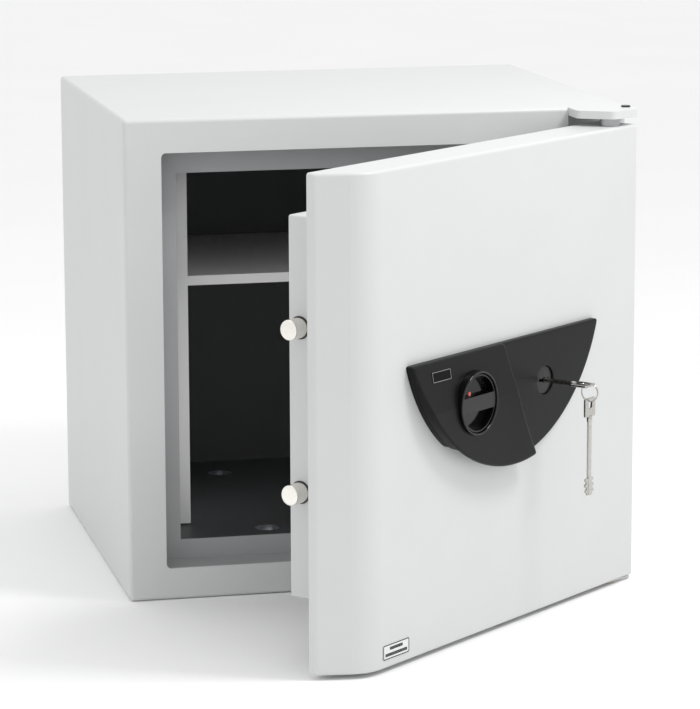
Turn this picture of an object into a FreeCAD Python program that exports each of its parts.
import FreeCAD, Part
import os
import re
import Sketcher

# A free-standing office safe: a steel case with a cast mineral filling, a hinged door with a
# key lock and a turning knob that throws two bolts, one shelf on two slotted side panels, and
# two keys on a ring.  Millimetres, +Z up, +X to the right and the front towards -Y.  The origin
# is the middle of the underside of the case.  The door stands open by door_opening.  Door
# pieces are drawn shut and swung about the hinge by their placements.

SIZES = {
    # case
    "case_width": 660, "case_height": 620, "case_depth": 566, "skin": 3, "edge_round": 5,
    "rim_side": 48, "rim_top": 43, "rim_base": 41, "rim_round": 6, "rebate_depth": 50,
    "lip_side": 75, "lip_top": 75, "lip_plate": 3, "wall_side": 60, "wall_top": 60,
    "wall_base": 66, "wall_back": 60, "liner": 1.5, "back_flange": 22,
    "anchor_half": 132, "anchor_front": 93, "anchor_back": 133, "anchor_bore": 7,
    "anchor_cup": 18, "anchor_cup_depth": 8, "anchor_wall": 2,
    # hinge
    "hinge_inset": 38, "hinge_forward": 41, "recess_inset": 81, "recess_depth": 18,
    "lug_thick": 10, "foot_lug": 3, "foot_nose": 52, "lug_shoulder": 38, "lug_nose": 62, "lug_round": 9,
    "pin_radius": 7, "pin_seat": 3, "pin_reach": 40, "pin_fit": 0.1, "bush_wall": 4,
    "bush_over": 2,
    "collar_radius": 13, "collar_gap": 0.25, "cap_radius": 6, "cap_inset": 8, "cap_forward": 12,
    "cap_rise": 2, "cap_step": 1,
    # fittings inside
    "panel_front": 130, "panel_width": 42, "panel_back": 15, "panel_sheet": 1.5,
    "panel_foot": 2, "panel_gap": 0.5, "slot_first": 65.5, "slot_last": 45, "slot_pitch": 25,
    "slot_high": 3.2, "slot_wide": 10, "slot_inset": 36, "shelf_slot": 10, "shelf_sheet": 1.5,
    "shelf_fold": 12.5, "shelf_gap": 1, "shelf_front": 9, "clip_reach": 12, "clip_thick": 2.7,
    "clip_inside": 2, "clip_side": 0.3, "clip_play": 0.2,
    # door slab
    "door_inset": 29, "door_overlap": 1, "door_top_gap": 10, "door_base": 5, "door_gap": 2,
    "door_opening": 41, "slab_thick": 58, "bevel_run": 43, "bevel_drop": 48, "bevel_round": 50,
    "nose_round": 8, "door_round": 4, "back_plate": 3, "seal_inset": 6, "seal_wide": 9,
    "seal_thick": 4,
    # box behind the door and the bolts
    "box_side_gap": 31, "box_top_gap": 9, "box_base_gap": 5, "box_depth": 86, "box_wall": 2,
    "box_round": 3, "box_flange": 12, "flange_sheet": 1.5, "screw_radius": 2.5,
    "screw_head": 5, "screw_rise": 3, "bolt_radius": 12.5, "bolt_behind": 67, "bolt_half": 100,
    "bolt_proud": 23, "bolt_throw": 20, "bolt_chamfer": 1.5, "bolt_fit": 0.1, "sleeve_wall": 1.5,
    "sleeve_length": 14, "sleeve_collar": 2.3, "collar_thick": 3, "spigot": 6,
    "nut_thick": 8, "nut_across": 17, "carriage_front": 40, "carriage_plate": 5,
    "carriage_inset": 74, "carriage_right": 20, "carriage_edge": 16, "carriage_back": 80,
    "guide_half": 70, "guide_inset": 40, "guide_neck": 5, "guide_head": 9, "guide_cap": 4,
    "slide_gap": 0.4,
    "dog_radius": 8, "dog_behind": 69, "dog_reach": 38, "dog_head": 5, "dog_head_thick": 4,
    # lock
    "lock_drop": 8, "knob_left": 66, "key_right": 103, "spindle_radius": 6, "spindle_fit": 0.1,
    "spindle_wall": 3, "spindle_sleeve": 10, "spindle_flange": 3, "spindle_collar": 9,
    "spindle_hole": 1, "spindle_play": 2, "pin_end": 3,
    "crank_pin": 4, "crank_gap": 0.6, "cam_radius": 21, "cam_thick": 8, "disc_radius": 28,
    "disc_thick": 5, "notch_deep": 10.5, "notch_gap": 0.4, "lock_bolt_half": 6,
    "lock_bolt_thick": 4, "lock_throw": 10, "lock_tip_gap": 1, "lock_case_half": 24,
    "lock_case_wall": 2, "lock_case_depth": 31, "lock_lid": 1.8, "pocket_gap": 12,
    "pocket_front": 5, "lock_arm": 8, "lock_crown": 5, "rotor_hole": 2, "rotor_radius": 14,
    "rotor_disc": 17.6, "rotor_sink": 5, "rotor_back": 13,
    "rotor_pin": 1.75, "rotor_gap": 0.4,
    # cover and knob
    "cover_radius": 216, "cover_right": 19, "cover_rise": 61, "cover_chord": 65,
    "cover_thick": 8, "grip_top": 10, "grip_mid": 20, "grip_low": 25, "grip_wall": 4,
    "gap_top": 50, "gap_roof": 4, "seam_radius": 514, "seam_right": 503,
    "seam_up": 107, "seam_start": 10, "bezel_radius": 39, "bezel_wall": 2.6, "bezel_rise": 2.2,
    "dial_radius": 36, "dial_wall": 3, "dial_floor": 3, "dial_sink": 5, "dial_rise": 3, "dial_gap": 1,
    "bar_half": 9.5, "marker_radius": 2.6, "marker_left": 16, "marker_up": 4, "marker_pad": 7,
    "marker_sink": 4, "marker_thick": 1,
    # badges
    "badge_wide": 54, "badge_high": 19, "badge_thick": 0.8, "badge_inset": 24,
    "badge_up": 25, "badge_round": 3, "plate_wide": 42, "plate_high": 18, "plate_inset": 68,
    "plate_down": 20, "plate_thick": 0.6,
    # keys
    "key_inside": 51, "key_shank": 3, "shank_length": 99, "bit_half": 9.8, "bit_long": 22,
    "bit_thick": 2.4, "bow_half": 11.5, "bow_long": 24, "bow_thick": 3.2, "bow_hole": 5.2,
    "bow_web": 3.5, "bow_round": 2, "ring_radius": 11.6, "ring_wire": 0.9, "ring_slack": 0.8,
    "spare_slack": 0.5,
    # how far a cutting tool runs past the face that it cuts, beside and in front of the door
    "over": 1, "far_over": 60,
}

doc = FreeCAD.newDocument("safe")
sheet = doc.addObject("Spreadsheet::Sheet", "Size")
for row, (word, value) in enumerate(SIZES.items(), start=1):
    sheet.set(f"A{row}", word)
    sheet.set(f"B{row}", str(value))
    sheet.setAlias(f"B{row}", word)
doc.recompute()

FRONT = "(0 - case_depth / 2)"
BACK = "(case_depth / 2)"
SIDE = "(case_width / 2)"
HINGE_X = f"({SIDE} - hinge_inset)"
HINGE_Y = f"({FRONT} - hinge_forward)"
RECESS_X = f"({SIDE} - recess_inset)"
DOOR_RIGHT = f"({SIDE} - door_overlap)"
DOOR_LEFT = f"(door_inset - {SIDE})"
DOOR_BACK = f"({FRONT} - door_gap)"
DOOR_FRONT = f"({DOOR_BACK} - slab_thick)"
LUG_LOW = "(case_height - lug_thick)"
DOOR_TOP = f"({LUG_LOW} - door_top_gap)"
LOCK_Z = "(case_height / 2 - lock_drop)"
KNOB_X = "(0 - knob_left)"
PLATE_FRONT = f"({DOOR_BACK} - back_plate)"
SLOT_Z = "(wall_base + slot_first)"
SHELF_Z = f"({SLOT_Z} + shelf_slot * slot_pitch + slot_high)"
COVER_TOP = f"({LOCK_Z} + cover_rise)"
COVER_FRONT = f"({DOOR_FRONT} - cover_thick)"

pieces = {}


def formula(text):
    """Point every size named in an expression at its cell."""
    return re.sub(r"[a-z_]+", lambda m: "Size." + m[0] if m[0] in SIZES else m[0], str(text))


def bind(item, prop, text):
    item.setExpression(prop, formula(text))


def size(text):
    """What an expression comes to, in millimetres."""
    return float(sheet.evalExpression(formula(text)))


def place(item, point):
    for axis, text in zip("xyz", point):
        bind(item, f"Placement.Base.{axis}", text)


def block(low, high):
    """A box between two corners, each corner three expressions."""
    item = doc.addObject("Part::Box", "Block")
    for prop, start, end in zip(("Length", "Width", "Height"), low, high):
        bind(item, prop, f"({end}) - ({start})")
    place(item, low)
    return item


TURNS = {
    "x": FreeCAD.Rotation(FreeCAD.Vector(0, 1, 0), 90),
    "y": FreeCAD.Rotation(FreeCAD.Vector(1, 0, 0), -90),
    "z": FreeCAD.Rotation(),
}


def rod(radius, start, length, along="y"):
    """A cylinder from a start point, running the given length along one axis."""
    item = doc.addObject("Part::Cylinder", "Rod")
    bind(item, "Radius", radius)
    bind(item, "Height", length)
    item.Placement = FreeCAD.Placement(FreeCAD.Vector(), TURNS[along])
    place(item, start)
    return item


def join(*items):
    if len(items) == 1:
        return items[0]
    item = doc.addObject("Part::MultiFuse", "Join")
    item.Shapes = list(items)
    return item


def cut(base, *tools):
    item = doc.addObject("Part::Cut", "Cut")
    item.Base = base
    item.Tool = join(*tools)
    return item


def common(*items):
    item = doc.addObject("Part::MultiCommon", "Common")
    item.Shapes = list(items)
    return item


def group(*items):
    """Like pieces kept as separate solids of one node."""
    item = doc.addObject("Part::Compound", "Group")
    item.Links = list(items)
    return item


def sketch_on(body, plane, outlines, level):
    """Closed outlines of straight runs on one of the body's own planes, each corner held by two
    bound dimensions, and the plane moved to the given level along its axis."""
    sketch = body.newObject("Sketcher::SketchObject", "Outline")
    origin = next(o for o in body.Origin.OriginFeatures if o.Role == f"{plane}_Plane")
    sketch.AttachmentSupport = [(origin, "")]
    sketch.MapMode = "FlatFace"
    bind(sketch, "AttachmentOffset.Base.z", f"0 - ({level})" if plane == "XZ" else level)
    doc.recompute()
    for points in outlines:
        first = sketch.GeometryCount
        corners = [FreeCAD.Vector(*(size(text) for text in point), 0) for point in points]
        for start, end in zip(corners, corners[1:] + corners[:1]):
            sketch.addGeometry(Part.LineSegment(start, end))
        for index, point in enumerate(points):
            line = first + index
            following = first + (index + 1) % len(points)
            sketch.addConstraint(Sketcher.Constraint("Coincident", line, 2, following, 1))
            for kind, text in zip(("DistanceX", "DistanceY"), point):
                number = sketch.addConstraint(Sketcher.Constraint(kind, -1, 1, line, 1, 1.0))
                bind(sketch, f"Constraints[{number}]", text)
    return sketch


def prism(plane, points, level, length):
    """A body padded from an outline towards +X, +Y or +Z."""
    body = doc.addObject("PartDesign::Body", "Prism")
    pad = body.newObject("PartDesign::Pad", "Pad")
    pad.Profile = sketch_on(body, plane, [points], level)
    bind(pad, "Length", length)
    pad.Reversed = plane == "XZ"
    doc.recompute()
    return body


def rounded(body, radius, chosen):
    """Round the edges of a body's tip that the test picks out."""
    tip = body.Tip
    names = [f"Edge{n}" for n, edge in enumerate(tip.Shape.Edges, start=1) if chosen(edge)]
    fillet = body.newObject("PartDesign::Fillet", "Fillet")
    fillet.Base = (tip, names)
    bind(fillet, "Radius", radius)
    doc.recompute()
    return body


def runs(edge, axis):
    """True for a straight edge along one axis."""
    if not isinstance(edge.Curve, Part.Line):
        return False
    return abs(getattr(edge.Curve.Direction, axis)) > 0.999


def near(edge, axis, text):
    return abs(getattr(edge.CenterOfMass, axis) - size(text)) < 0.01


def rectangle(low_u, low_v, high_u, high_v):
    return [(low_u, low_v), (high_u, low_v), (high_u, high_v), (low_u, high_v)]


def keep(name, item):
    """Name a finished piece of the case."""
    item.Label = name
    pieces[name] = item


# Any angle but none, so that the axis is kept while the angle is bound.
UPRIGHT = FreeCAD.Rotation(FreeCAD.Vector(0, 0, 1), 1)


def hang(name, item):
    """Name a finished piece of the door and swing it open about the hinge line."""
    holder = group(item)
    holder.Placement = FreeCAD.Placement(FreeCAD.Vector(), UPRIGHT)
    swing = "door_opening"
    bind(holder, "Placement.Base.x", f"{HINGE_X} * (1 - cos({swing})) + {HINGE_Y} * sin({swing})")
    bind(holder, "Placement.Base.y", f"{HINGE_Y} * (1 - cos({swing})) - {HINGE_X} * sin({swing})")
    bind(holder, "Placement.Rotation.Angle", swing)
    keep(name, holder)


# ---- case: one folded and welded outer shell, with the recess that the door heel turns in

def recess(grow):
    """The notch at the hinge side of the case front, grown inwards by a wall."""
    return block((f"{RECESS_X} - {grow}", f"{FRONT} - over", "0 - over"),
                 (f"{SIDE} + over", f"{FRONT} + recess_depth + {grow}", "case_height + over"))


def anchor_rods(radius, low, high):
    """One upright rod at each of the four anchor places in the base."""
    rows = (f"{FRONT} + anchor_front", f"{BACK} - anchor_back")
    spots = [(side, row) for side in ("0 - anchor_half", "anchor_half") for row in rows]
    return [rod(radius, (side, row, low), f"({high}) - ({low})", "z") for side, row in spots]


stock = prism("XZ", rectangle(f"0 - {SIDE}", "0", SIDE, "case_height"), FRONT, "case_depth")
rounded(stock, "edge_round", lambda edge: True)
hollow = cut(block((f"0 - {SIDE} + skin", f"{FRONT} + skin", "skin"),
                   (f"{SIDE} - skin", f"{BACK} - skin", "case_height - skin")), recess("skin"))
mouth = prism("XZ", rectangle(f"rim_side - {SIDE}", "rim_base", f"{SIDE} - rim_side",
                              "case_height - rim_top"), f"{FRONT} - over", "rebate_depth + over")
rounded(mouth, "rim_round", lambda edge: runs(edge, "y"))
rear = block((f"back_flange - {SIDE}", f"{BACK} - skin", "back_flange"),
             (f"{SIDE} - back_flange", f"{BACK} + over", "case_height - back_flange"))
keep("outer_shell", cut(stock, recess("0"), hollow, mouth, rear,
                        *anchor_rods("anchor_bore", "0 - over", "skin + over")))

keep("back_panel", block((f"0 - {SIDE} + skin", f"{BACK} - skin * 2", "skin"),
                         (f"{SIDE} - skin", f"{BACK} - skin", "case_height - skin")))

# The rebate frame lines the front opening and ends in the lip that the bolts catch behind.
frame_outer = block((f"rim_side - skin - {SIDE}", f"{FRONT} + skin", "rim_base - skin"),
                    (f"{SIDE} - rim_side + skin", f"{FRONT} + rebate_depth + lip_plate",
                     "case_height - rim_top + skin"))
lip_hole = block((f"lip_side - {SIDE}", FRONT, "wall_base"),
                 (f"{SIDE} - lip_side", f"{FRONT} + rebate_depth + lip_plate + over",
                  "case_height - lip_top"))
keep("rebate_frame", cut(frame_outer, mouth, lip_hole, recess("skin")))


def room(grow, front, back):
    """The inside space, grown by a wall on every side but the front."""
    return block((f"wall_side - {SIDE} - {grow}", front, f"wall_base - {grow}"),
                 (f"{SIDE} - wall_side + {grow}", back, f"case_height - wall_top + {grow}"))


ROOM_FRONT = f"({FRONT} + rebate_depth + lip_plate)"
ROOM_BACK = f"({BACK} - wall_back)"
keep("inner_liner", cut(room("liner", ROOM_FRONT, f"{ROOM_BACK} + liner"),
                        room("0", f"{ROOM_FRONT} - over", ROOM_BACK),
                        *anchor_rods("anchor_cup", "wall_base - liner - over",
                                     "wall_base + over")))

filling = block((f"0 - {SIDE} + skin", f"{FRONT} + skin", "skin"),
                (f"{SIDE} - skin", f"{BACK} - skin * 2", "case_height - skin"))
keep("case_filling", cut(filling, recess("skin"), frame_outer,
                         room("liner", FRONT, f"{ROOM_BACK} + liner"),
                         *anchor_rods("anchor_cup + anchor_wall", "0", "wall_base")))

# Each anchor place is a steel tube through the base with a cup for the washer and nut.
sleeves = []
for body_rod, cup, bore in zip(
        anchor_rods("anchor_cup + anchor_wall", "skin", "wall_base - liner"),
        anchor_rods("anchor_cup", "wall_base - anchor_cup_depth", "wall_base"),
        anchor_rods("anchor_bore", "0", "wall_base")):
    sleeves.append(cut(body_rod, cup, bore))
keep("anchor_sleeves", group(*sleeves))


# ---- hinge: two lugs welded into the recess, each with a fixed pin

def lug(low, thick, nose):
    """A hinge lug, seen from above: straight sides and a blunt nose past the pin."""
    shoulder = f"{FRONT} - lug_shoulder - {nose} + lug_nose"
    points = [(RECESS_X, f"{FRONT} + recess_depth"), (RECESS_X, shoulder),
              (HINGE_X, f"{FRONT} - {nose}"), (SIDE, shoulder), (SIDE, f"{FRONT} + recess_depth")]
    body = prism("XY", points, low, thick)
    return rounded(body, "lug_round",
                   lambda e: runs(e, "z") and not near(e, "y", f"{FRONT} + recess_depth"))


def hinge_rod(radius, low, high):
    return rod(radius, (HINGE_X, HINGE_Y, low), f"({high}) - ({low})", "z")


cap_spot = (f"{SIDE} - cap_inset", f"{FRONT} - cap_forward")
keep("upper_hinge_lug", cut(lug(LUG_LOW, "lug_thick", "lug_nose"),
                            hinge_rod("pin_radius", f"{LUG_LOW} - over", f"{LUG_LOW} + pin_seat"),
                            rod("cap_radius - cap_step", (*cap_spot, "case_height - cap_rise"),
                                "cap_rise + over", "z")))
keep("lower_hinge_lug", cut(lug("0", "foot_lug", "foot_nose"),
                            hinge_rod("pin_radius", "foot_lug - pin_seat - over", "foot_lug + over")))
keep("upper_hinge_pin", hinge_rod("pin_radius", f"{DOOR_TOP} - pin_reach", f"{LUG_LOW} + pin_seat"))
keep("lower_hinge_pin", hinge_rod("pin_radius", "foot_lug - pin_seat", "door_base + pin_reach"))
keep("upper_collar", cut(hinge_rod("collar_radius", f"{DOOR_TOP} + collar_gap", LUG_LOW),
                         hinge_rod("pin_radius", DOOR_TOP, "case_height")))
keep("lower_washer", cut(hinge_rod("collar_radius", "foot_lug", "door_base - collar_gap"),
                         hinge_rod("pin_radius", "0", "door_base")))
keep("lug_cap", join(rod("cap_radius - cap_step", (*cap_spot, "case_height - cap_rise"),
                         "cap_rise", "z"),
                     rod("cap_radius", (*cap_spot, "case_height"), "cap_rise", "z")))


# ---- inside: two slotted side panels and one loose shelf on four clips

PANEL_FRONT = f"({FRONT} + panel_front)"
PANEL_BACK = f"({BACK} - wall_back - panel_back)"
WEB_X = f"({SIDE} - wall_side - panel_gap - panel_width)"
SLOT_ROWS = (f"{PANEL_FRONT} + slot_inset", f"{PANEL_BACK} - slot_inset")
SLOT_STEPS = "floor((case_height - wall_top - wall_base - slot_first - slot_last) / slot_pitch)"


def panel(sign):
    """A channel of thin white sheet, its web slotted front and back for the shelf clips."""
    wall = f"{sign} * ({SIDE} - wall_side - panel_gap)"
    web = f"{sign} * {WEB_X}"
    inner = f"{sign} * ({WEB_X} + panel_sheet)"
    points = [(wall, PANEL_FRONT), (web, PANEL_FRONT), (web, PANEL_BACK), (wall, PANEL_BACK),
              (wall, f"{PANEL_BACK} - panel_sheet"), (inner, f"{PANEL_BACK} - panel_sheet"),
              (inner, f"{PANEL_FRONT} + panel_sheet"), (wall, f"{PANEL_FRONT} + panel_sheet")]
    high = "case_height - wall_top - wall_base - panel_foot * 2"
    body = prism("XY", points, "wall_base + panel_foot", high)
    pocket = body.newObject("PartDesign::Pocket", "Slot")
    pair = [rectangle(f"{row} - slot_wide / 2", SLOT_Z, f"{row} + slot_wide / 2",
                      f"{SLOT_Z} + slot_high") for row in SLOT_ROWS]
    pocket.Profile = sketch_on(body, "YZ", pair, "0")
    pocket.Type = "ThroughAll"
    pocket.Midplane = True
    rows = body.newObject("PartDesign::LinearPattern", "Rows")
    rows.Originals = [pocket]
    rows.Direction = (next(o for o in body.Origin.OriginFeatures if o.Role == "Z_Axis"), [""])
    bind(rows, "Length", f"slot_pitch * {SLOT_STEPS}")
    bind(rows, "Occurrences", f"{SLOT_STEPS} + 1")
    body.Tip = rows
    doc.recompute()
    return body


keep("left_shelf_panel", panel("0 - 1"))
keep("right_shelf_panel", panel("1"))

SHELF_X = f"({WEB_X} - shelf_gap)"
SHELF_FRONT = f"({PANEL_FRONT} + shelf_front)"
keep("shelf", cut(block((f"0 - {SHELF_X}", SHELF_FRONT, SHELF_Z),
                        (SHELF_X, PANEL_BACK, f"{SHELF_Z} + shelf_fold")),
                  block((f"shelf_sheet - {SHELF_X}", f"{SHELF_FRONT} + shelf_sheet", f"{SHELF_Z} - over"),
                        (f"{SHELF_X} - shelf_sheet", f"{PANEL_BACK} - shelf_sheet",
                         f"{SHELF_Z} + shelf_fold - shelf_sheet"))))

clips = []
for sign in ("0 - 1", "1"):
    for row in SLOT_ROWS:
        ends = (f"{sign} * ({WEB_X} + panel_sheet + clip_inside)", f"{sign} * ({WEB_X} - clip_reach)")
        low, high = ends if sign == "0 - 1" else ends[::-1]
        clips.append(block((low, f"{row} - slot_wide / 2 + clip_side",
                            f"{SHELF_Z} - clip_play - clip_thick"),
                           (high, f"{row} + slot_wide / 2 - clip_side", f"{SHELF_Z} - clip_play")))
keep("shelf_clips", group(*clips))

# ---- door slab: a folded front skin, a mineral filling and a back plate

def slab(inset, back, low, high):
    """The slab's plan: flat front, a long bevel towards the latch edge, square heel."""
    corner = f"({DOOR_LEFT} + bevel_run + {inset} * tan(atan(bevel_drop / bevel_run) / 2))"
    left = f"({DOOR_LEFT} + {inset})"
    front = f"({DOOR_FRONT} + {inset})"
    points = [(f"{DOOR_RIGHT} - {inset}", back), (f"{DOOR_RIGHT} - {inset}", front), (corner, front),
              (left, f"{front} + ({corner} - {left}) * bevel_drop / bevel_run"), (left, back)]
    body = prism("XY", points, low, f"({high}) - ({low})")
    return rounded(body, f"bevel_round - {inset}", lambda e: runs(e, "z") and near(e, "x", corner))


def lock_rod(across, radius, near_y, far_y):
    """A rod square to the door at the height of the lock."""
    return rod(radius, (across, near_y, LOCK_Z), f"({far_y}) - ({near_y})")


outside = slab("0", DOOR_BACK, "door_base", DOOR_TOP)
rounded(outside, "nose_round", lambda e: runs(e, "z") and near(e, "x", DOOR_LEFT)
        and not near(e, "y", DOOR_BACK))
rounded(outside, "door_round", lambda e: not near(e, "y", DOOR_BACK)
        and (near(e, "z", "door_base") or near(e, "z", DOOR_TOP)
             or (runs(e, "z") and near(e, "x", DOOR_RIGHT))))
INSIDE = ("skin", DOOR_BACK, "door_base + skin", f"{DOOR_TOP} - skin")
BUSH = "(pin_radius + pin_fit + bush_wall)"
hang("door_skin", cut(outside, slab(*INSIDE), hinge_rod(BUSH, "door_base - over", f"{DOOR_TOP} + over"),
                      lock_rod(KNOB_X, "spindle_radius + spindle_hole", f"{DOOR_FRONT} - over",
                               DOOR_BACK),
                      lock_rod("key_right", "rotor_radius + rotor_gap", f"{DOOR_FRONT} - over",
                               DOOR_BACK)))

pocket_half = "(disc_radius + pocket_gap)"
lock_pocket = block((f"{KNOB_X} - {pocket_half}", f"{DOOR_FRONT} + skin + pocket_front",
                     f"{LOCK_Z} - {pocket_half}"),
                    ("key_right + lock_case_half + pocket_gap", DOOR_BACK, f"{LOCK_Z} + {pocket_half}"))
back_space = block((DOOR_LEFT, PLATE_FRONT, "0"), (DOOR_RIGHT, DOOR_BACK, "case_height"))
hang("door_filling", cut(slab(*INSIDE), back_space, lock_pocket,
                         hinge_rod(BUSH, "0", "case_height"),
                         lock_rod(KNOB_X, "spindle_radius + spindle_hole", DOOR_FRONT, DOOR_BACK),
                         lock_rod("key_right", "rotor_radius + rotor_hole", DOOR_FRONT, DOOR_BACK)))

BOX_X = f"({SIDE} - lip_side - box_side_gap)"
BOX_Z = "(wall_base + box_base_gap)"
BOX_TOP = "(case_height - lip_top - box_top_gap)"
BOX_BACK = f"({DOOR_BACK} + box_depth)"
screw_spots = []
for across in (f"0 - {BOX_X} - box_flange / 2", f"{BOX_X} + box_flange / 2"):
    for share in ("1 / 8", "1 / 2", "7 / 8"):
        screw_spots.append((across, f"{BOX_Z} + ({BOX_TOP} - {BOX_Z}) * {share}"))
for up in (f"{BOX_Z} - box_flange / 2", f"{BOX_TOP} + box_flange / 2"):
    screw_spots.append(("0", up))


def screw_rods(radius, near_y, far_y):
    """One rod square to the door at each screw of the box flange."""
    return [rod(radius, (across, near_y, up), f"({far_y}) - ({near_y})") for across, up in screw_spots]


hang("door_back_plate", cut(block((f"{DOOR_LEFT} + skin", PLATE_FRONT, "door_base + skin"),
                                  (f"{DOOR_RIGHT} - skin", DOOR_BACK, f"{DOOR_TOP} - skin")),
                            lock_rod(KNOB_X, "spindle_radius + spindle_fit + spindle_wall", PLATE_FRONT,
                                     DOOR_BACK),
                            *screw_rods("screw_radius", PLATE_FRONT, DOOR_BACK)))


def hinge_bush(low, high):
    return cut(hinge_rod(BUSH, low, high), hinge_rod("pin_radius + pin_fit", "0", "case_height"))


hang("upper_hinge_bush", hinge_bush(f"{DOOR_TOP} - pin_reach - bush_over", DOOR_TOP))
hang("lower_hinge_bush", hinge_bush("door_base", "door_base + pin_reach + bush_over"))


def seal_frame(inset, front, back):
    """A rectangle inside the case mouth, seen from the front."""
    return block((f"rim_side + {inset} - {SIDE}", front, f"rim_base + {inset}"),
                 (f"{SIDE} - rim_side - {inset}", back, f"case_height - rim_top - {inset}"))


hang("fire_seal", cut(seal_frame("seal_inset", DOOR_BACK, f"{DOOR_BACK} + seal_thick"),
                      seal_frame("(seal_inset + seal_wide)", f"{DOOR_BACK} - over",
                                 f"{DOOR_BACK} + seal_thick + over")))


# ---- box behind the door, and what runs in it

def bolt_rods(radius, near_x, far_x, behind="bolt_behind"):
    """One rod across the door at the height of each bolt."""
    return [rod(radius, (near_x, f"{FRONT} + {behind}", f"{LOCK_Z} + {sign} * bolt_half"),
                f"({far_x}) - ({near_x})", "x") for sign in ("(0 - 1)", "1")]


lid = prism("XZ", rectangle(f"0 - {BOX_X}", BOX_Z, BOX_X, BOX_TOP), DOOR_BACK, "box_depth")
rounded(lid, "box_round", lambda e: runs(e, "y") or near(e, "y", BOX_BACK))
flange = block((f"0 - {BOX_X} - box_flange", DOOR_BACK, f"{BOX_Z} - box_flange"),
               (f"{BOX_X} + box_flange", f"{DOOR_BACK} + flange_sheet", f"{BOX_TOP} + box_flange"))
hang("boltwork_box", cut(join(lid, flange),
                         block((f"box_wall - {BOX_X}", f"{DOOR_BACK} - over", f"{BOX_Z} + box_wall"),
                               (f"{BOX_X} - box_wall", f"{BOX_BACK} - box_wall", f"{BOX_TOP} - box_wall")),
                         *bolt_rods("bolt_radius + sleeve_wall", f"0 - {BOX_X} - over",
                                    f"box_wall + over - {BOX_X}"),
                         *bolt_rods("dog_radius", f"{BOX_X} - box_wall - over", f"{BOX_X} + over",
                                    "dog_behind"),
                         *screw_rods("screw_radius", DOOR_BACK, f"{DOOR_BACK} + flange_sheet")))
FLANGE_FACE = f"({DOOR_BACK} + flange_sheet)"
hang("box_screws", group(*[join(head, shank) for head, shank in zip(
    screw_rods("screw_head", FLANGE_FACE, f"{FLANGE_FACE} + screw_rise"),
    screw_rods("screw_radius", PLATE_FRONT, FLANGE_FACE))]))

bushes = [cut(join(sleeve, collar), hole) for sleeve, collar, hole in zip(
    bolt_rods("bolt_radius + sleeve_wall", f"0 - {BOX_X} - over", f"sleeve_length - {BOX_X}"),
    bolt_rods("bolt_radius + sleeve_collar", f"box_wall - {BOX_X}", f"box_wall + collar_thick - {BOX_X}"),
    bolt_rods("bolt_radius + bolt_fit", f"0 - {BOX_X} - over * 2", f"sleeve_length + over - {BOX_X}"))]
hang("bolt_bushes", group(*bushes))
hang("hinge_side_dogs", group(*[join(shank, head) for shank, head in zip(
    bolt_rods("dog_radius", f"{BOX_X} - box_wall", f"{BOX_X} + dog_reach", "dog_behind"),
    bolt_rods("dog_radius + dog_head", f"{BOX_X} - box_wall - dog_head_thick", f"{BOX_X} - box_wall",
              "dog_behind"))]))

FLANGE_X = f"(carriage_inset - {BOX_X})"
TIP_X = f"(0 - {BOX_X} - bolt_proud)"
bolts = []
for shank, spigot in zip(bolt_rods("bolt_radius", TIP_X, FLANGE_X),
                         bolt_rods("spigot", f"{FLANGE_X} - over",
                                   f"{FLANGE_X} + carriage_plate + nut_thick")):
    doc.recompute()
    tip = doc.addObject("Part::Chamfer", "Tip")
    tip.Base = shank
    rims = [n for n, edge in enumerate(shank.Shape.Edges, start=1)
            if edge.Closed and near(edge, "x", TIP_X)]
    tip.Edges = [(n, size("bolt_chamfer"), size("bolt_chamfer")) for n in rims]
    bolts.append(join(tip, spigot))
hang("locking_bolts", group(*bolts))

nuts = []
for hole in bolt_rods("spigot", FLANGE_X, f"{FLANGE_X} + carriage_plate + nut_thick"):
    nut = doc.addObject("Part::Prism", "Nut")
    nut.Polygon = 6
    bind(nut, "Circumradius", "nut_across / 2 / cos(30)")
    bind(nut, "Height", "nut_thick")
    nut.Placement = FreeCAD.Placement(FreeCAD.Vector(), TURNS["x"])
    side = "1" if nuts else "(0 - 1)"
    place(nut, (f"{FLANGE_X} + carriage_plate", f"{FRONT} + bolt_behind",
                f"{LOCK_Z} + {side} * bolt_half"))
    nuts.append(cut(nut, hole))
hang("bolt_nuts", group(*nuts))

# The pin of each crank starts 45 degrees off square and ends 45 degrees past it, so the crank's
# length follows from the throw.
CARRIAGE_Y = f"({FRONT} + carriage_front)"
CARRIAGE_HALF = "(bolt_half + carriage_edge)"
CRANK = "(bolt_throw / 2 / sin(45))"
PIN_X = f"({KNOB_X} + bolt_throw / 2)"
PIN_Z = f"({LOCK_Z} + bolt_throw / 2)"
carriage = join(block((FLANGE_X, CARRIAGE_Y, f"{LOCK_Z} - {CARRIAGE_HALF}"),
                      ("0 - carriage_right", f"{CARRIAGE_Y} + carriage_plate",
                       f"{LOCK_Z} + {CARRIAGE_HALF}")),
                block((FLANGE_X, CARRIAGE_Y, f"{LOCK_Z} - {CARRIAGE_HALF}"),
                      (f"{FLANGE_X} + carriage_plate", f"{FRONT} + carriage_back",
                       f"{LOCK_Z} + {CARRIAGE_HALF}")))
pin_slot = block((f"{PIN_X} - crank_pin - crank_gap", f"{CARRIAGE_Y} - over",
                  f"{PIN_Z} - crank_pin - crank_gap"),
                 (f"{PIN_X} + crank_pin + crank_gap", f"{CARRIAGE_Y} + carriage_plate + over",
                  f"{LOCK_Z} + {CRANK} + crank_pin + crank_gap"))
GUIDE_X = f"({FLANGE_X} + guide_inset)"
guide_slots = []
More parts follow.
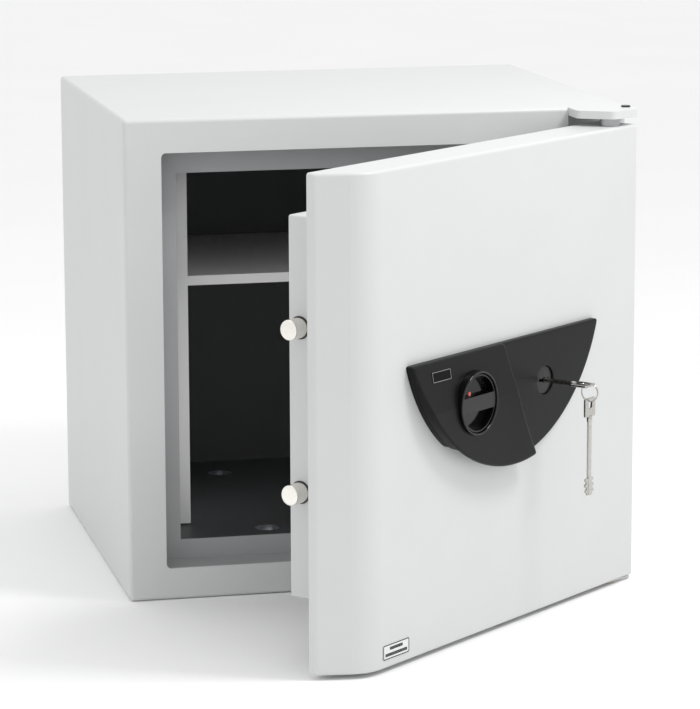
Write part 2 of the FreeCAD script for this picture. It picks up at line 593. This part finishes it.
for sign in ("(0 - 1)", "1"):
    level = f"{LOCK_Z} + {sign} * guide_half"
    guide_slots.append(block((f"{GUIDE_X} - guide_neck - slide_gap", f"{CARRIAGE_Y} - over",
                              f"{level} - guide_neck - slide_gap"),
                             (f"{GUIDE_X} + bolt_throw + guide_neck + slide_gap",
                              f"{CARRIAGE_Y} + carriage_plate + over",
                              f"{level} + guide_neck + slide_gap")))
hang("bolt_carriage", cut(carriage, pin_slot, *guide_slots, *bolt_rods("spigot", f"{FLANGE_X} - over",
                                                                   f"{FLANGE_X} + carriage_plate + over")))

guides = []
for sign in ("(0 - 1)", "1"):
    spot = (GUIDE_X, f"{LOCK_Z} + {sign} * guide_half")
    parts = [("guide_head", DOOR_BACK, f"{CARRIAGE_Y} - slide_gap"),
             ("guide_neck", f"{CARRIAGE_Y} - slide_gap", f"{CARRIAGE_Y} + carriage_plate + slide_gap"),
             ("guide_head", f"{CARRIAGE_Y} + carriage_plate + slide_gap",
              f"{CARRIAGE_Y} + carriage_plate + guide_cap")]
    guides.append(join(*[rod(r, (spot[0], a, spot[1]), f"({b}) - ({a})") for r, a, b in parts]))
hang("carriage_guides", group(*guides))

# ---- knob, spindle and the crank that moves the carriage

DIAL_FLOOR = f"({DOOR_FRONT} - dial_sink)"
DIAL_FRONT = f"({DOOR_FRONT} - grip_mid - dial_rise)"
dial = join(lock_rod(KNOB_X, "dial_radius", f"{DIAL_FLOOR} - dial_floor", DIAL_FLOOR),
            cut(lock_rod(KNOB_X, "dial_radius", DIAL_FRONT, f"{DIAL_FLOOR} - dial_floor"),
                lock_rod(KNOB_X, "dial_radius - dial_wall", DIAL_FRONT, DIAL_FLOOR)),
            common(lock_rod(KNOB_X, "dial_radius - dial_wall / 2", DIAL_FRONT, DIAL_FLOOR),
                   block((f"{KNOB_X} - dial_radius", DIAL_FRONT, f"{LOCK_Z} - bar_half"),
                         (f"{KNOB_X} + dial_radius", DIAL_FLOOR, f"{LOCK_Z} + bar_half"))),
            block((f"{KNOB_X} - marker_left - marker_pad", f"{DIAL_FRONT} + marker_sink",
                   f"{LOCK_Z} + bar_half - over"),
                  (f"{KNOB_X} - marker_left + marker_pad", DIAL_FLOOR,
                   f"{LOCK_Z} + bar_half + marker_up * 2")))
hang("knob_dial", dial)
hang("knob_marker", rod("marker_radius", (f"{KNOB_X} - marker_left",
                                          f"{DIAL_FRONT} + marker_sink - marker_thick",
                                          f"{LOCK_Z} + bar_half + marker_up"), "marker_thick"))
SPINDLE_BACK = f"({CARRIAGE_Y} - spindle_play)"
hang("knob_spindle", lock_rod(KNOB_X, "spindle_radius", DIAL_FLOOR, SPINDLE_BACK))
hang("spindle_bush", cut(join(lock_rod(KNOB_X, "spindle_radius + spindle_fit + spindle_wall",
                                       PLATE_FRONT, f"{DOOR_BACK} + spindle_sleeve"),
                              lock_rod(KNOB_X, "spindle_radius + spindle_collar", DOOR_BACK,
                                       f"{DOOR_BACK} + spindle_flange")),
                         lock_rod(KNOB_X, "spindle_radius + spindle_fit", DOOR_FRONT, BACK)))

cam_front = f"({SPINDLE_BACK} - cam_thick)"
hang("drive_cam", cut(lock_rod(KNOB_X, "cam_radius", cam_front, SPINDLE_BACK),
                      lock_rod(KNOB_X, "spindle_radius", f"{cam_front} - over", CARRIAGE_Y),
                      rod("crank_pin", (PIN_X, cam_front, PIN_Z), "cam_thick + over")))
hang("cam_pin", rod("crank_pin", (PIN_X, cam_front, PIN_Z),
                    f"{CARRIAGE_Y} + carriage_plate + pin_end - {cam_front}"))

# The disc on the spindle has a notch for each end of the knob's travel.
BOLT_Y = f"({DOOR_BACK} - back_plate - lock_lid - slide_gap * 3 - lock_bolt_thick)"
DISC_Y = f"({BOLT_Y} - disc_thick / 2 + lock_bolt_thick / 2)"
notch_half = "(lock_bolt_half + notch_gap)"
hang("locking_disc", cut(
    lock_rod(KNOB_X, "disc_radius", DISC_Y, f"{DISC_Y} + disc_thick"),
    lock_rod(KNOB_X, "spindle_radius", DOOR_FRONT, DOOR_BACK),
    block((f"{KNOB_X} + disc_radius - notch_deep", f"{DISC_Y} - over", f"{LOCK_Z} - {notch_half}"),
          (f"{KNOB_X} + disc_radius + over", f"{DISC_Y} + disc_thick + over", f"{LOCK_Z} + {notch_half}")),
    block((f"{KNOB_X} - {notch_half}", f"{DISC_Y} - over", f"{LOCK_Z} - disc_radius - over"),
          (f"{KNOB_X} + {notch_half}", f"{DISC_Y} + disc_thick + over",
           f"{LOCK_Z} - disc_radius + notch_deep"))))

# ---- key lock: a rotor turned by the key drives a flat bolt into the disc

CASE_FRONT = f"({PLATE_FRONT} - lock_lid - lock_case_depth)"
CASE_BACK = f"({PLATE_FRONT} - lock_lid)"
ROTOR_FRONT = f"({COVER_FRONT} + rotor_sink)"
ROTOR_BACK = f"({FRONT} - rotor_back)"
BOLT_TIP = f"({KNOB_X} + disc_radius + lock_tip_gap)"
half = "lock_case_half"
hang("lock_case", cut(
    block((f"key_right - {half}", CASE_FRONT, f"{LOCK_Z} - {half}"),
          (f"key_right + {half}", CASE_BACK, f"{LOCK_Z} + {half}")),
    block((f"key_right - {half} + lock_case_wall", f"{CASE_FRONT} + lock_case_wall",
           f"{LOCK_Z} - {half} + lock_case_wall"),
          (f"key_right + {half} - lock_case_wall", f"{CASE_BACK} + over",
           f"{LOCK_Z} + {half} - lock_case_wall")),
    lock_rod("key_right", "rotor_radius + spindle_fit", f"{CASE_FRONT} - over", CASE_BACK),
    block((f"key_right - {half} - over", f"{BOLT_Y} - slide_gap", f"{LOCK_Z} - lock_bolt_half - slide_gap"),
          (f"key_right - {half} + lock_case_wall + over", f"{BOLT_Y} + lock_bolt_thick + slide_gap",
           f"{LOCK_Z} + lock_bolt_half + slide_gap"))))
hang("lock_case_lid", block((f"key_right - {half}", CASE_BACK, f"{LOCK_Z} - {half}"),
                            (f"key_right + {half}", PLATE_FRONT, f"{LOCK_Z} + {half}")))

SLOT_HALF = "(bit_half + rotor_gap)"
SLOT_THICK = "(bit_thick / 2 + rotor_gap)"
hang("key_rotor", cut(join(lock_rod("key_right", "rotor_disc", ROTOR_FRONT, f"{DOOR_FRONT} - slide_gap"),
                           lock_rod("key_right", "rotor_radius", ROTOR_FRONT, ROTOR_BACK)),
                      lock_rod("key_right", "key_shank + rotor_gap", f"{ROTOR_FRONT} - over", FRONT),
                      block((f"key_right - {SLOT_HALF}", f"{ROTOR_FRONT} - over", f"{LOCK_Z} - {SLOT_THICK}"),
                            (f"key_right + {SLOT_HALF}", FRONT, f"{LOCK_Z} + {SLOT_THICK}"))))
ROTOR_CRANK = "(lock_throw / 2 / sin(45))"
ROTOR_PIN_X = "(key_right + lock_throw / 2)"
ROTOR_PIN_Z = f"({LOCK_Z} + lock_throw / 2)"
hang("rotor_pin", rod("rotor_pin", (ROTOR_PIN_X, ROTOR_BACK, ROTOR_PIN_Z),
                      f"{BOLT_Y} + lock_bolt_thick - {ROTOR_BACK}"))
head_high = f"{LOCK_Z} + {ROTOR_CRANK} + rotor_pin + lock_crown"
hang("lock_bolt", cut(
    join(block((BOLT_TIP, BOLT_Y, f"{LOCK_Z} - lock_bolt_half"),
               (f"{ROTOR_PIN_X} + rotor_pin + lock_arm", f"{BOLT_Y} + lock_bolt_thick",
                f"{LOCK_Z} + lock_bolt_half")),
         block((f"{ROTOR_PIN_X} - rotor_pin - lock_arm", BOLT_Y, LOCK_Z),
               (f"{ROTOR_PIN_X} + rotor_pin + lock_arm", f"{BOLT_Y} + lock_bolt_thick", head_high))),
    block((f"{ROTOR_PIN_X} - rotor_pin - rotor_gap", f"{BOLT_Y} - over",
           f"{ROTOR_PIN_Z} - rotor_pin - rotor_gap"),
          (f"{ROTOR_PIN_X} + rotor_pin + rotor_gap", f"{BOLT_Y} + lock_bolt_thick + over",
           f"{LOCK_Z} + {ROTOR_CRANK} + rotor_pin + rotor_gap"))))


# ---- lock cover: a flat-topped segment of a disc, its left half raised as a pull handle

def cover_rod(radius, near_y, far_y):
    return rod(radius, ("cover_right", near_y, f"{COVER_TOP} + cover_chord"), f"({far_y}) - ({near_y})")


def seam_rod(grow):
    """The big round that parts the raised grip from the low side of the cover."""
    spot = ("cover_right - seam_start + seam_right", f"{DOOR_FRONT} - far_over",
            f"{COVER_TOP} + seam_up")
    return rod(f"seam_radius + {grow}", spot, "far_over * 2")


def below(top, near_y, far_y):
    return block(("cover_right - cover_radius", near_y, f"{COVER_TOP} - cover_radius"),
                 ("cover_right + cover_radius", far_y, top))


GAP_TOP = f"({LOCK_Z} - gap_top)"
finger_space = cut(below(GAP_TOP, f"{DOOR_FRONT} - far_over", DOOR_FRONT), seam_rod("0"))
segment = common(cover_rod("cover_radius", COVER_FRONT, DOOR_FRONT),
                 below(COVER_TOP, COVER_FRONT, DOOR_FRONT))
hang("lock_cover", cut(segment, finger_space,
                       lock_rod(KNOB_X, "dial_radius + dial_gap", COVER_FRONT, DOOR_FRONT),
                       lock_rod("key_right", "rotor_disc + rotor_gap", COVER_FRONT, DOOR_FRONT)))


def grip_profile(inset, top):
    """The grip seen from its side: the face leans out from the top edge down to the pull."""
    face = [(COVER_TOP, "grip_top"), (LOCK_Z, "grip_mid"),
            (f"{COVER_TOP} - cover_radius", "grip_low")]
    points = [(f"{DOOR_FRONT} - {out} + {inset}", up) for up, out in face]
    lean = f"(grip_top - grip_mid) / ({COVER_TOP} - {LOCK_Z})"
    points[0] = (f"{DOOR_FRONT} - grip_top + {inset} + ({COVER_TOP} - {top}) * {lean}", top)
    return points


def grip_prism(inset, top):
    points = grip_profile(inset, top)
    points += [(COVER_FRONT, f"{COVER_TOP} - cover_radius"), (COVER_FRONT, top)]
    return prism("YZ", points, "cover_right - cover_radius", "cover_radius * 2")


grip_body = cut(common(grip_prism("0", COVER_TOP),
                       cover_rod("cover_radius", f"{DOOR_FRONT} - far_over", COVER_FRONT)), seam_rod("0"))
works_space = cut(common(grip_prism("grip_wall", f"({COVER_TOP} - grip_wall)"),
                         cover_rod("cover_radius - grip_wall", f"{DOOR_FRONT} - far_over", COVER_FRONT),
                         block(("0 - case_width", f"{DOOR_FRONT} - far_over", f"{GAP_TOP} + gap_roof"),
                               ("case_width", DOOR_FRONT, COVER_TOP))), seam_rod("grip_wall"))
pull_space = common(grip_prism("grip_wall", f"({COVER_TOP} - grip_wall)"),
                    below(GAP_TOP, f"{DOOR_FRONT} - far_over", DOOR_FRONT))
hang("grip_shell", cut(grip_body, works_space, pull_space,
                       lock_rod(KNOB_X, "bezel_radius", f"{DOOR_FRONT} - far_over", COVER_FRONT)))
hang("knob_bezel", cut(lock_rod(KNOB_X, "bezel_radius", f"{DIAL_FRONT} - bezel_rise", COVER_FRONT),
                       lock_rod(KNOB_X, "bezel_radius - bezel_wall", f"{DIAL_FRONT} - bezel_rise",
                                COVER_FRONT)))

# ---- badges: two blank plates

BADGE_X = f"({DOOR_LEFT} + bevel_run + badge_inset)"
badge = prism("XZ", rectangle(BADGE_X, "badge_up - badge_high / 2", f"{BADGE_X} + badge_wide",
                              "badge_up + badge_high / 2"),
              f"{DOOR_FRONT} - badge_thick", "badge_thick")
rounded(badge, "badge_round", lambda e: runs(e, "y"))
hang("door_badge", badge)

LEAN = f"((grip_mid - grip_top) / ({COVER_TOP} - {LOCK_Z}))"


def on_face(up, out):
    """A point on the upper part of the grip's leaning face, raised by out."""
    return (f"{DOOR_FRONT} - grip_top - ({COVER_TOP} - ({up})) * {LEAN} - {out}", up)


plate_low = f"{COVER_TOP} - plate_down - plate_high / 2"
plate_high = f"{COVER_TOP} - plate_down + plate_high / 2"
plate = prism("YZ", [on_face(plate_low, "0"), on_face(plate_high, "0"), on_face(plate_high, "plate_thick"),
                     on_face(plate_low, "plate_thick")],
              "cover_right - cover_radius + plate_inset - plate_wide / 2", "plate_wide")
hang("cover_badge", plate)


# ---- keys: one in the lock, one hanging from it on a wire ring

def key():
    """A key standing on its tip at the origin: round shank, double bit and a flat bow with a
    hole, the bow and the bit lying across X."""
    bit = block(("0 - bit_half", "0 - bit_thick / 2", "0"), ("bit_half", "bit_thick / 2", "bit_long"))
    shank = rod("key_shank", ("0", "0", "0"), "shank_length", "z")
    bow = prism("XZ", rectangle("0 - bow_half", "shank_length", "bow_half", "shank_length + bow_long"),
                "0 - bow_thick / 2", "bow_thick")
    rounded(bow, "bow_round", lambda e: runs(e, "y"))
    hole = rod("bow_hole", ("0", "0 - bow_thick", "shank_length + bow_long - bow_web - bow_hole"),
               "bow_thick * 2")
    return group(cut(join(bit, shank, bow), hole))


KEY_TIP = f"({ROTOR_FRONT} + key_inside)"
HANG_Y = f"({KEY_TIP} - shank_length - bow_long + bow_web / 2)"
RING_Z = f"({LOCK_Z} + bow_thick / 2 + ring_slack + ring_wire - ring_radius)"
SPARE_TOP = f"({RING_Z} - ring_radius + ring_wire + spare_slack + bow_web)"
door_key = key()
door_key.Placement = FreeCAD.Placement(FreeCAD.Vector(), FreeCAD.Rotation(FreeCAD.Vector(1, 0, 0), 90))
place(door_key, ("key_right", KEY_TIP, LOCK_Z))
hang("door_key", door_key)
spare_key = key()
place(spare_key, ("key_right", HANG_Y, f"{SPARE_TOP} - shank_length - bow_long"))
hang("spare_key", spare_key)
wire = doc.addObject("Part::Torus", "Wire")
bind(wire, "Radius1", "ring_radius")
bind(wire, "Radius2", "ring_wire")
wire.Placement = FreeCAD.Placement(FreeCAD.Vector(), TURNS["x"])
place(wire, ("key_right", HANG_Y, RING_Z))
hang("key_ring", wire)

# ---- build, check and write

doc.recompute()
for item in doc.Objects:
    if "Invalid" in item.State or "Error" in item.State:
        raise RuntimeError(f"{item.Name} ({item.Label}) did not build: {item.State}")
for name, item in pieces.items():
    if item.Shape.isNull() or not item.Shape.isValid() or item.Shape.Volume <= 0:
        raise RuntimeError(f"{name} has no valid shape")

os.makedirs("parts", exist_ok=True)
for name, item in pieces.items():
    item.Shape.exportStep(f"parts/{name}.step")
    box = item.Shape.BoundBox
    print(f"{name:18s} solids {len(item.Shape.Solids)} volume {item.Shape.Volume / 1000:10.2f} cm3 "
          f"x {box.XMin:7.1f} {box.XMax:7.1f} y {box.YMin:7.1f} {box.YMax:7.1f} "
          f"z {box.ZMin:7.1f} {box.ZMax:7.1f}")
